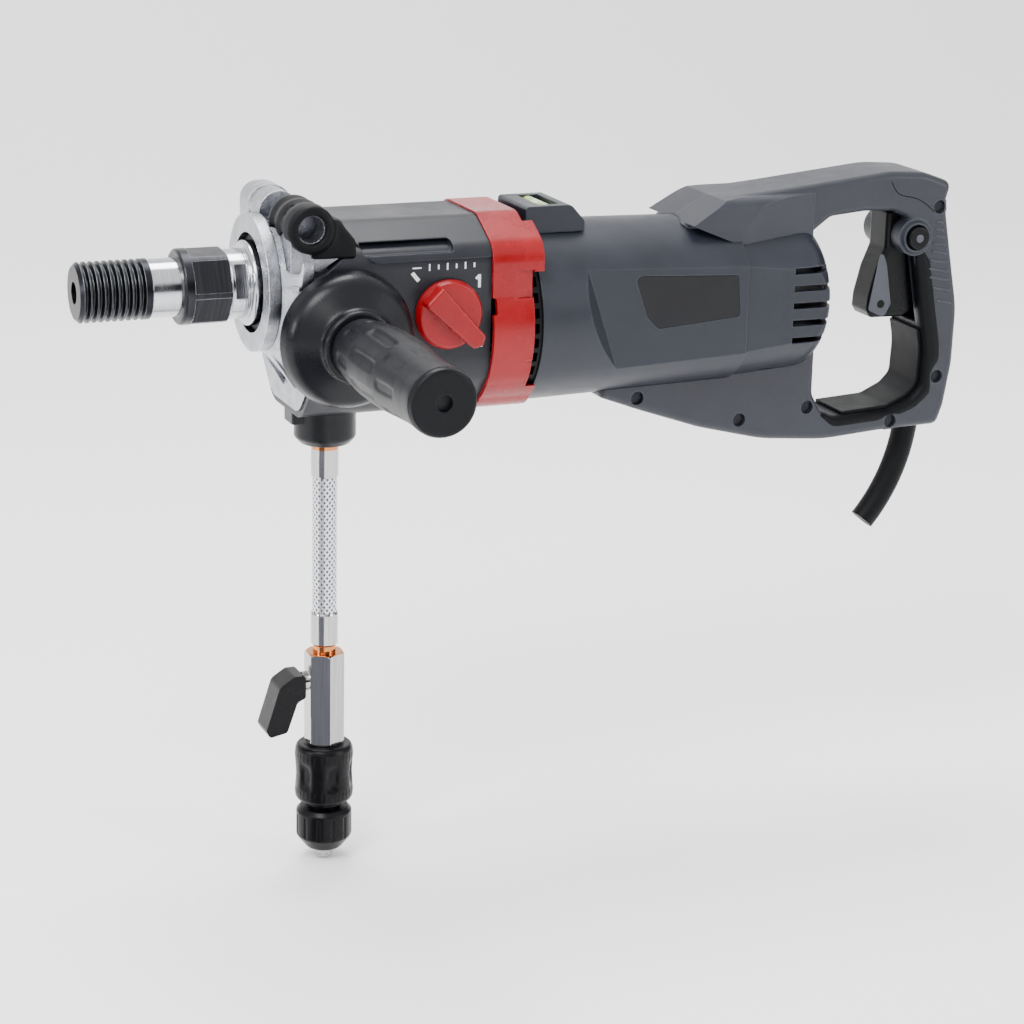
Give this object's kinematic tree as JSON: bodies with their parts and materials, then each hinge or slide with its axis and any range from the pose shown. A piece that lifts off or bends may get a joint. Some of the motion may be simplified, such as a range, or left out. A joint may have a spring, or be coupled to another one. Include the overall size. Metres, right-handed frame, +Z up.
{
  "type": "core drill",
  "caption": "Hand-held wet core drill: threaded spindle, two-speed gearbox, motor, D-shaped rear handle, side handle, and a water hose with valve and coupler.",
  "frame": {"origin": "on the spindle axis, in the plane of the nose housing's front ring", "axes": "+X from the nose to the rear handle, +Z up, side handle along -Y"},
  "size_m": [0.5134, 0.2415, 0.3782],
  "materials": {
    "black_oxide_steel": "black oxide, oiled",
    "ground_steel": "ground and polished",
    "gear_steel": "machined, oiled",
    "bearing_steel": "ground",
    "zinc_steel": "zinc plated",
    "spring_steel": "drawn wire",
    "die_cast": "die cast, machined faces",
    "dark_plastic": "fine spark texture",
    "black_plastic": "satin",
    "red_plastic": "satin",
    "grey_plastic": "satin",
    "black_rubber": "matt moulded",
    "seal_rubber": "nitrile",
    "copper_winding": "enamelled copper and laminations",
    "armature_steel": "laminations, windings and commutator",
    "brass": "drawn brass",
    "carbon": "pressed carbon",
    "nickel_brass": "nickel plated brass",
    "braided_hose": "clear tube over steel braid",
    "vial_fluid": "acrylic vial, green fluid"
  },
  "bodies": {
    "machine": {"fork_rail": "ground_steel", "spindle_bearings": "bearing_steel", "countershaft_bearings": "bearing_steel", "armature_bearings": "bearing_steel", "spindle_dirt_seal": "seal_rubber", "water_seals": "seal_rubber", "nose_housing": "die_cast", "ear_cap": "black_rubber", "gear_case": "dark_plastic", "gear_plate": "die_cast", "motor_flange": "die_cast", "band": "red_plastic", "air_outlet": "black_plastic", "motor_housing": "dark_plastic", "rating_plates": "black_plastic", "level_block": "dark_plastic", "level_vial": "vial_fluid", "field": "copper_winding", "brush_holders": "brass", "brushes": "carbon", "brush_springs": "spring_steel", "rear_cover": "dark_plastic", "cover_screws": "zinc_steel", "handle_left": "dark_plastic", "handle_right": "dark_plastic", "handle_screws": "zinc_steel", "grip_liner": "black_rubber", "trigger_pin": "ground_steel", "switch_module": "black_plastic", "lock_collar": "black_plastic", "cord_guard": "black_rubber", "side_handle_guard": "black_plastic", "side_handle_grip": "black_rubber", "side_handle_stud": "zinc_steel", "side_handle_cap": "black_rubber", "water_boss": "black_plastic", "hose_ferrules": "nickel_brass", "water_hose": "braided_hose", "valve_body": "nickel_brass", "coupler_body": "black_plastic", "coupler_nut": "black_plastic"},
    "spindle": {"spindle": "ground_steel", "spindle_hex_collar": "black_oxide_steel"},
    "low_gear": {"low_gear": "gear_steel"},
    "high_gear": {"high_gear": "gear_steel"},
    "dog_sleeve": {"shift_sleeve": "gear_steel"},
    "shift_fork": {"shift_fork": "gear_steel"},
    "countershaft": {"countershaft": "gear_steel", "reduction_gear": "gear_steel"},
    "armature": {"armature": "armature_steel", "fan": "black_plastic"},
    "selector": {"selector_knob": "red_plastic", "selector_shaft": "gear_steel"},
    "trigger": {"trigger": "black_plastic", "trigger_side_plate": "grey_plastic", "trigger_spring": "spring_steel"},
    "lock_button": {"lock_button": "grey_plastic"},
    "valve_lever": {"valve_lever": "black_plastic", "valve_ball": "nickel_brass"},
    "coupler_sleeve": {"coupler_sleeve": "black_plastic"}
  },
  "joints": [
    {"name": "spindle_spin", "type": "hinge", "parent": "machine", "child": "spindle", "pos_m": [0, 0, 0], "axis": [1, 0, 0], "continuous": true},
    {"name": "low_gear_spin", "type": "hinge", "parent": "machine", "child": "low_gear", "pos_m": [0.062, 0, 0], "axis": [1, 0, 0], "continuous": true},
    {"name": "high_gear_spin", "type": "hinge", "parent": "machine", "child": "high_gear", "pos_m": [0.095, 0, 0], "axis": [1, 0, 0], "continuous": true},
    {"name": "countershaft_spin", "type": "hinge", "parent": "machine", "child": "countershaft", "pos_m": [0.08, 0.02094, -0.02928], "axis": [1, 0, 0], "continuous": true},
    {"name": "armature_spin", "type": "hinge", "parent": "machine", "child": "armature", "pos_m": [0.2, 0, -0.024], "axis": [1, 0, 0], "continuous": true},
    {"name": "selector_turn", "type": "hinge", "parent": "machine", "child": "selector", "pos_m": [0.0945, -0.046, -0.013], "axis": [0, -1, 0], "range_deg": [0, 90]},
    {"name": "fork_shift", "type": "slide", "parent": "machine", "child": "shift_fork", "axis": [1, 0, 0], "range_m": [-0.01, 0]},
    {"name": "sleeve_shift", "type": "slide", "parent": "spindle", "child": "dog_sleeve", "axis": [1, 0, 0], "range_m": [-0.01, 0]},
    {"name": "trigger_pull", "type": "hinge", "parent": "machine", "child": "trigger", "pos_m": [0.3875, 0, 0.019], "axis": [0, -1, 0], "range_deg": [0, 7], "stiffness_Nm_per_rad": 1, "springref_deg": -8.59},
    {"name": "lock_button_press", "type": "slide", "parent": "machine", "child": "lock_button", "axis": [0, 1, 0], "range_m": [0, 0.003], "stiffness_N_per_m": 800, "springref_m": -0.002},
    {"name": "valve_lever_turn", "type": "hinge", "parent": "machine", "child": "valve_lever", "pos_m": [0.0425, 0, -0.2255], "axis": [1, 0, 0], "range_deg": [0, 90]},
    {"name": "coupler_release", "type": "slide", "parent": "machine", "child": "coupler_sleeve", "axis": [0, 0, -1], "range_m": [0, 0.004], "stiffness_N_per_m": 1500, "springref_m": -0.002}
  ],
  "couplings": [
    {"joint": "low_gear_spin", "follows": "spindle_spin", "ratio": 0.5},
    {"joint": "high_gear_spin", "follows": "spindle_spin", "ratio": 1},
    {"joint": "countershaft_spin", "follows": "spindle_spin", "ratio": -1.5},
    {"joint": "armature_spin", "follows": "spindle_spin", "ratio": 7.5},
    {"joint": "selector_turn", "follows": "fork_shift", "rad_per_m": -157.08},
    {"joint": "sleeve_shift", "follows": "fork_shift", "ratio": 1}
  ]
}
